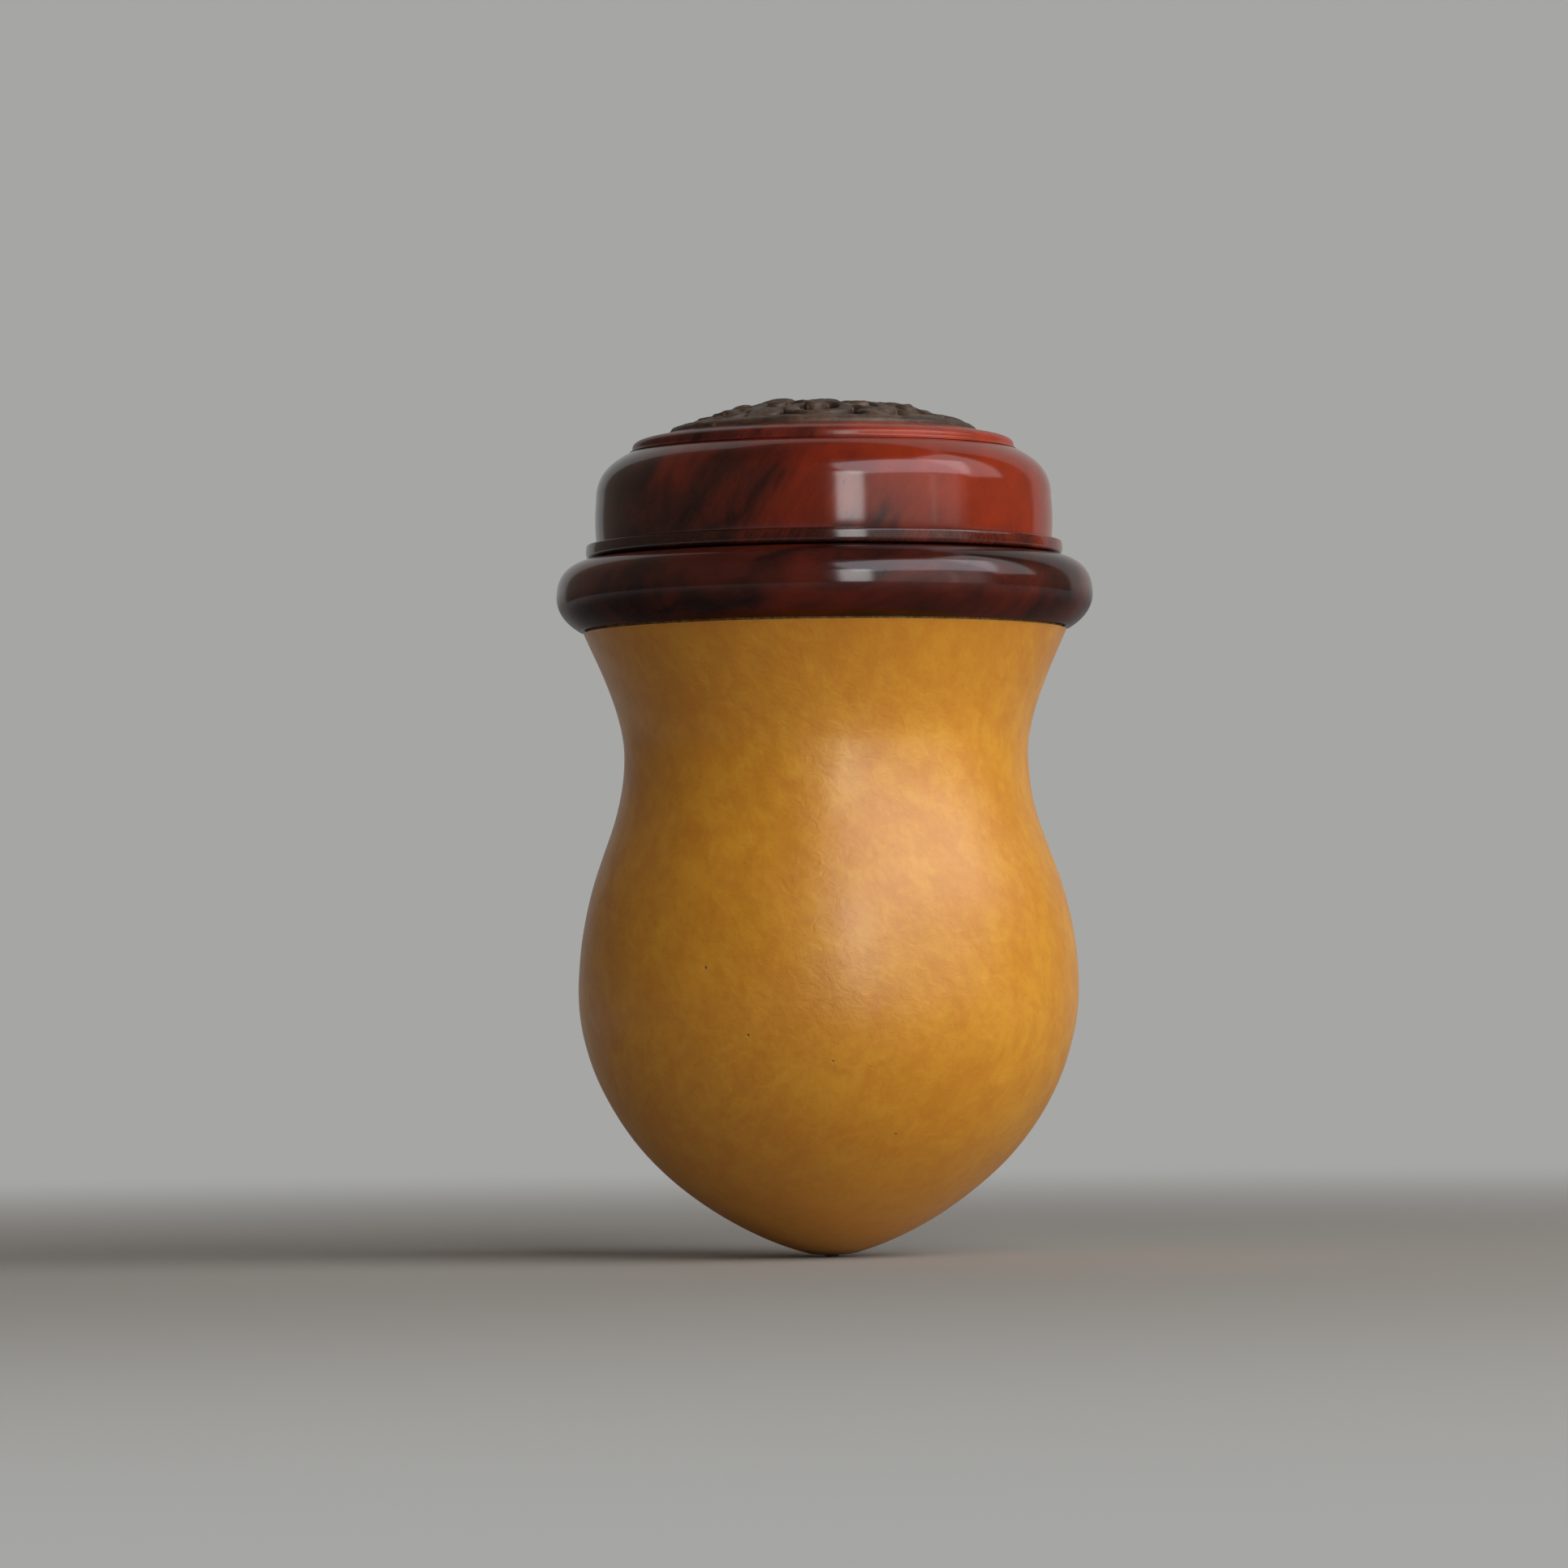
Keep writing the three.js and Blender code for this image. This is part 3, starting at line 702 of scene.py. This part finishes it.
def carving():
    """The corners and faces of the vine, of the curled tendril with its bud in each of its bays, of the
    leaves on its crests and troughs, and of the flower's petals."""
    corners, faces = [], []

    angles = [2 * math.pi * i / vine_steps for i in range(vine_steps + 1)]
    vine_points = [vine_place(a) for a in angles]
    vine_widths = [vine_width + vine_width_change * math.sin(11 * a) for a in angles]
    vine_lifts = [0.15 * math.sin(5 * a + 1) - 0.2 for a in angles]
    strand(vine_points, vine_widths, vine_lifts, corners, faces)

    for wave in range(waves):
        for outer in (True, False):
            bay = 2 * math.pi * (wave + 0.5 * outer) / waves
            if outer:
                middle_radius = outer_bay_radius
                reach = rim_inner + tie_overlap - middle_radius
            else:
                middle_radius = inner_bay_radius
                reach = middle_radius - flower_radius + tie_overlap
            middle = Vector((middle_radius * math.cos(bay), middle_radius * math.sin(bay)))
            start = Vector(vine_place(bay - math.pi / waves / 2)) - middle
            begin = math.atan2(start.y, start.x)
            lift = rng.uniform(-0.45, 0.1)
            points, widths, lifts = [], [], []
            for i in range(curl_steps + 1):
                done = i / curl_steps
                swung_out = start.length + (reach - start.length) * min(done / curl_swing, 1)
                radius = swung_out + (curl_eye_radius - swung_out) * done
                angle = begin + 2 * math.pi * curl_turns * done
                points.append((middle.x + radius * math.cos(angle), middle.y + radius * math.sin(angle)))
                widths.append(curl_width - curl_taper * done)
                lifts.append(lift + curl_rise * done)
            strand(points, widths, lifts, corners, faces)
            bud = points[-1]
            bud_line = np.linspace(-bud_half_length, bud_half_length, 9)
            bud_points = [(bud[0] + math.cos(begin) * s, bud[1] + math.sin(begin) * s) for s in bud_line]
            bud_widths = [bud_width * math.sqrt(max(1 - (s / bud_roundness) ** 2, 0.02)) for s in bud_line]
            strand(bud_points, bud_widths, [lifts[-1] + bud_rise] * len(bud_line), corners, faces)

    for wave in range(waves):
        for crest in (True, False):
            if crest:
                angle = 2 * math.pi * wave / waves
                near, far = vine_radius + vine_swing, rim_inner + tie_overlap
            else:
                angle = 2 * math.pi * (wave + 0.5) / waves
                near, far = flower_radius - tie_overlap, vine_radius - vine_swing
            sway = rng.uniform(-0.12, 0.12)
            lift = rng.uniform(-0.35, 0.2)
            points, widths, lifts = [], [], []
            for i in range(leaf_steps + 1):
                done = i / leaf_steps
                radius = near - leaf_tie + (far - near + 2 * leaf_tie) * done
                turned_by = angle + sway * math.sin(math.pi * done)
                points.append((radius * math.cos(turned_by), radius * math.sin(turned_by)))
                widths.append(leaf_tip_width + leaf_swell * math.sin(math.pi * done) ** 0.8)
                lifts.append(lift + leaf_rise * math.sin(math.pi * done))
            strand(points, widths, lifts, corners, faces)

    for petal in range(petals):
        angle = 2 * math.pi * (petal + 0.5) / petals
        points, widths, lifts = [], [], []
        for i in range(petal_steps + 1):
            done = i / petal_steps
            radius = petal_radius + petal_length / 2 * (2 * done - 1)
            points.append((radius * math.cos(angle), radius * math.sin(angle)))
            widths.append(petal_width * math.sqrt(1.02 - (2 * done - 1) ** 2))
            lifts.append(petal_droop * done ** 2 - petal_droop)
        strand(points, widths, lifts, corners, faces)
    return corners, faces


corners, faces = carving()
boss_outline = [(0, cap_top - 2.2), (1.9, cap_top - 2.0), (2.0, cap_top - 1.0), (1.6, cap_top - 0.35),
                (0.9, cap_top - 0.06), (0, cap_top)]
rim_edge_top = cap_top - dome_rise
rim_outline = eased([
    (cap_radius, cap_bottom, 0.15),
    (cap_radius, rim_edge_top - 0.05, 0.35),
    (rim_inner + 1.0, rim_edge_top + 0.5, 0.3),
    (rim_inner, rim_edge_top + 0.55, 0.3),
    (rim_inner, cap_bottom, 0.15),
])
stems_mesh = bpy.data.meshes.new("stems")
stems_mesh.from_pydata([Vector(c) * mm for c in corners], [], faces)
stems = bpy.data.objects.new("stems", stems_mesh)
bpy.context.scene.collection.objects.link(stems)
boss = turned("boss", boss_outline, steps=48)
rim = turned("rim", rim_outline)


def joined(name, parts):
    """One mesh of several parts, with the parts taken away."""
    corners, faces = [], []
    for part in parts:
        first = len(corners)
        corners += [tuple(v.co) for v in part.data.vertices]
        faces += [tuple(first + i for i in f.vertices) for f in part.data.polygons]
        bpy.data.objects.remove(part)
    mesh = bpy.data.meshes.new(name)
    mesh.from_pydata(corners, [], faces)
    whole = bpy.data.objects.new(name, mesh)
    bpy.context.scene.collection.objects.link(whole)
    return whole


def settled(piece):
    """Works a piece's modifiers into its mesh."""
    graph = bpy.context.evaluated_depsgraph_get()
    mesh = bpy.data.meshes.new_from_object(piece.evaluated_get(graph))
    piece.modifiers.clear()
    piece.data = mesh


cap = joined("carved_cap", [stems, boss, rim])
remesh = cap.modifiers.new("remesh", "REMESH")
remesh.mode = "VOXEL"
remesh.voxel_size = carving_voxel * mm
smooth = cap.modifiers.new("smooth", "SMOOTH")
smooth.factor = 0.5
smooth.iterations = 3
settled(cap)

cut_size = 1.7
cut_depth = 0.16
nick_size = 0.6
nick_depth = 0.05
plain_foot = 0.8
for corner in cap.data.vertices:
    place = corner.co / mm
    share = min(max((place.z - cap_bottom - plain_foot) / plain_foot, 0), 1)
    cut = noise.noise(place / cut_size) * cut_depth
    nick = noise.noise(place / nick_size) * nick_depth
    corner.co.z = min(corner.co.z + (cut + nick) * share * mm, cap_top * mm)
cap.data.shade_smooth()


def horn_finish():
    """Carved horn: grey brown and cloudy, with painted shade in the cuts, and tan on the high places
    that is partly rubbed wear and partly painted highlight.
    """
    horn = Finish("carved_horn")
    place = horn.place()
    clouds = horn.cloud(place, 4.5, detail=3, roughness=0.6)
    grain = horn.cloud(horn.stretched(place, 1, 0.25, 1), 0.7, detail=3)
    colour = horn.mix(horn.step(clouds, 0.38, 0.66), screen(58, 43, 33), screen(94, 72, 56))
    colour = horn.mix(horn.step(grain, 0.5, 0.75, 0, 0.5), colour, screen(58, 44, 36))
    edge = horn.node("NewGeometry", {}, {}, output="Pointiness")
    # Tan on the sharpest high edges: partly rubbed wear, partly painted highlight.
    colour = horn.mix(horn.step(edge, 0.54, 0.64, 0, 0.7), colour, screen(158, 128, 92))
    # Dark in the hollow cuts: painted shade.
    colour = horn.mix(horn.step(edge, 0.4, 0.47, 1, 0), colour, screen(34, 24, 19))
    horn.surface(Base_Color=colour, Roughness=0.45 + 0.2 * grain, Specular_IOR_Level=0.35,
                 Coat_Weight=0.05, Coat_Roughness=0.3, Normal=horn.relief(grain, 0.03))
    return horn.material


cap.data.materials.append(horn_finish())
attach(cap, "lid")
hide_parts("carved_grille")

# The floor and backdrop: one pale, matt bowl, level where the gourd stands and rising all round. The
# floor is lit and takes the gourd's shadow; the far wall is seen as an even pale grey.
bowl_level = 1700
bowl_curve = 1200
bowl_radius = bowl_level + bowl_curve
bowl_height = 5000
bowl_wall = 20
lit_floor_radius = 100
even_grey_radius = 600
bowl = turned("studio_bowl", [
    (0, 0),
    (bowl_level, 0),
    *bent((bowl_level, 0), (bowl_radius, 0), (bowl_radius, bowl_curve), steps=24)[1:],
    (bowl_radius, bowl_height),
    (bowl_radius + bowl_wall, bowl_height),
    (bowl_radius + bowl_wall, -bowl_wall),
    (0, -bowl_wall),
], steps=96)


def paper_finish():
    """Matt paper, lit around the gourd, which turns into one even grey further out."""
    paper = Finish("pale_paper")
    paper.surface(Base_Color=screen(166, 164, 160), Roughness=0.95)
    distance = paper.node("VectorMath", {"operation": "LENGTH"}, {0: paper.place()}, output="Value")
    rays = [paper.node("LightPath", {}, {}, output=f"Is {kind} Ray")
            for kind in ("Camera", "Glossy", "Transmission")]
    seen = (rays[0] + rays[1] + rays[2]) * paper.step(distance, lit_floor_radius, even_grey_radius)
    glow = paper.node("Emission", {}, {"Color": screen(166, 166, 164), "Strength": 1.0})
    matt = Value(paper, paper.shader.outputs[0])
    wall = paper.node("MixShader", {}, {0: seen, 1: matt, 2: glow})
    paper.links.new(wall.socket, paper.nodes["Material Output"].inputs["Surface"])
    return paper.material


bowl.data.materials.append(paper_finish())

# The lights: a tall bright pane almost beside the camera, a broad soft light high on the right that
# does most of the work, dimmer panes that show as reflections, and weak light from behind. Two curved
# screens of grey felt, which the camera doesn't see, keep the polished wood deep at both sides.
middle = Vector((0, 0, 60)) * mm


def bearing(azimuth, elevation=0):
    """The way from the gourd. Azimuth is measured from the camera's side to the right."""
    turn, tilt = math.radians(azimuth), math.radians(elevation)
    return Vector((math.sin(turn) * math.cos(tilt), -math.cos(turn) * math.cos(tilt), math.sin(tilt)))


def lamp(name, azimuth, elevation, distance, width, height, radiance, colour, reflected=False):
    """A soft panel that faces the gourd, placed in degrees and metres. It either lights the gourd or
    only shows as a reflection. Its power is its radiance times four times its area."""
    light = bpy.data.lights.new(name, "AREA")
    light.shape = "RECTANGLE"
    light.size = width
    light.size_y = height
    light.energy = radiance * 4 * width * height
    light.color = colour
    panel = bpy.data.objects.new(name, light)
    panel.visible_glossy = reflected
    panel.visible_diffuse = not reflected
    way = bearing(azimuth, elevation)
    panel.location = middle + way * distance
    panel.rotation_mode = "QUATERNION"
    panel.rotation_quaternion = (-way).to_track_quat("-Z", "Y")
    bpy.context.scene.collection.objects.link(panel)


def felt_finish():
    """Warm grey felt, slightly mottled."""
    felt = Finish("grey_felt")
    fibres = felt.cloud(felt.place(), 20, detail=3)
    felt.surface(Base_Color=felt.mix(fibres, screen(146, 135, 126), screen(158, 147, 138)), Roughness=0.9)
    return felt.material


def felt_screen(name, first, last, radius, height, steps=24):
    """A tall felt wall, curved around the gourd from the first azimuth to the last."""
    corners = []
    for step in range(steps + 1):
        foot = bearing(first + (last - first) * step / steps) * radius
        corners += [tuple(foot), (foot.x, foot.y, height)]
    mesh = bpy.data.meshes.new(name)
    mesh.from_pydata(corners, [], [(2 * i, 2 * i + 2, 2 * i + 3, 2 * i + 1) for i in range(steps)])
    mesh.materials.append(felt_finish())
    mesh.shade_smooth()
    standing = bpy.data.objects.new(name, mesh)
    standing.visible_camera = False
    bpy.context.scene.collection.objects.link(standing)


lamp("tall_pane", 12.8, 12.5, 1.3, 0.3, 0.67, 4.7, (1.0, 0.98, 0.97), reflected=True)
lamp("high_band", 47, 40, 1.3, 1.65, 0.75, 2.2, (0.9, 0.9, 1.0), reflected=True)
lamp("far_band", 91, 38, 1.3, 0.6, 1.0, 1.1, (0.95, 0.92, 0.95), reflected=True)
lamp("dim_window", 47, 9, 1.35, 1.2, 0.65, 0.45, (1.0, 0.96, 0.9), reflected=True)
lamp("bright_gap", 56, 9, 1.25, 0.02, 0.5, 1.6, (1.0, 0.85, 0.7), reflected=True)
lamp("near_right", 13, 20, 1.3, 0.3, 1.6, 2.4, (1.0, 0.93, 0.86))
lamp("broad_right", 60, 28, 1.3, 1.6, 1.0, 2.12, (1.0, 1.0, 0.98))
lamp("low_right", 49, 4, 1.35, 1.38, 0.8, 1.3, (1.0, 0.98, 0.94))
lamp("from_behind", 180, 40, 1.6, 1.0, 0.9, 0.5, (1.0, 0.98, 0.96))
felt_screen("left_screen", -146, 5, radius=0.95, height=1.8)
felt_screen("right_screen", 76, 130, radius=1.5, height=2.4)

surround = bpy.data.worlds.new("surround")
surround.use_nodes = True
surround.node_tree.nodes["Background"].inputs["Color"].default_value = (1.0, 0.94, 0.88, 1)
surround.node_tree.nodes["Background"].inputs["Strength"].default_value = 0.06
bpy.context.scene.world = surround
bpy.context.scene.view_settings.view_transform = "Standard"
